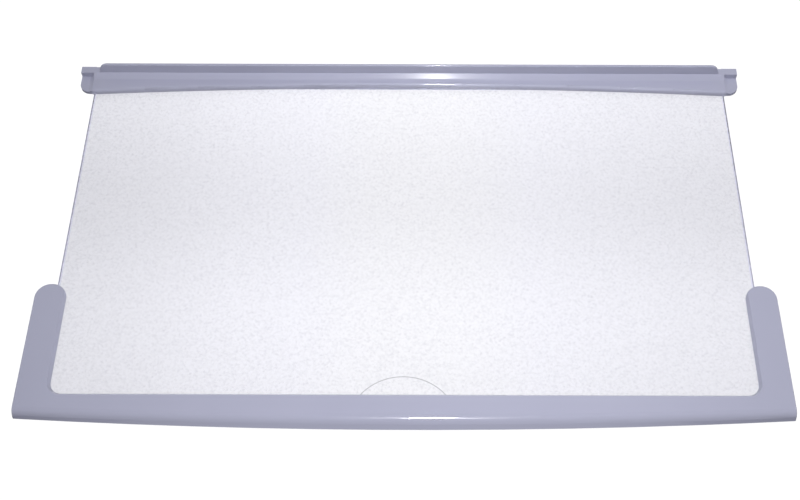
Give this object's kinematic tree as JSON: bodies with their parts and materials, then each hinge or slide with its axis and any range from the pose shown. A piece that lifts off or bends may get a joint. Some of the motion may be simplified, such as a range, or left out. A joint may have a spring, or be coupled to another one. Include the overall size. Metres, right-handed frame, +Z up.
{
  "type": "refrigerator glass shelf",
  "caption": "Flat refrigerator shelf: a stippled safety glass plate with a bowed moulded trim wrapping its front corners and a rear trim with an upstand and end lugs.",
  "frame": {"origin": "middle of the shelf in plan, at the undersides of the two trims", "axes": "+X across the shelf, +Y towards the back of the refrigerator, +Z up from the glass"},
  "size_m": [0.5172, 0.3054, 0.0234],
  "materials": {
    "stippled_glass": "clear toughened glass with a fine stippled face and ground edges",
    "trim_plastic": "glossy lavender grey moulded plastic"
  },
  "bodies": {
    "root": {"glass_panel": "stippled_glass", "front_trim": "trim_plastic", "rear_trim": "trim_plastic"}
  },
  "joints": []
}
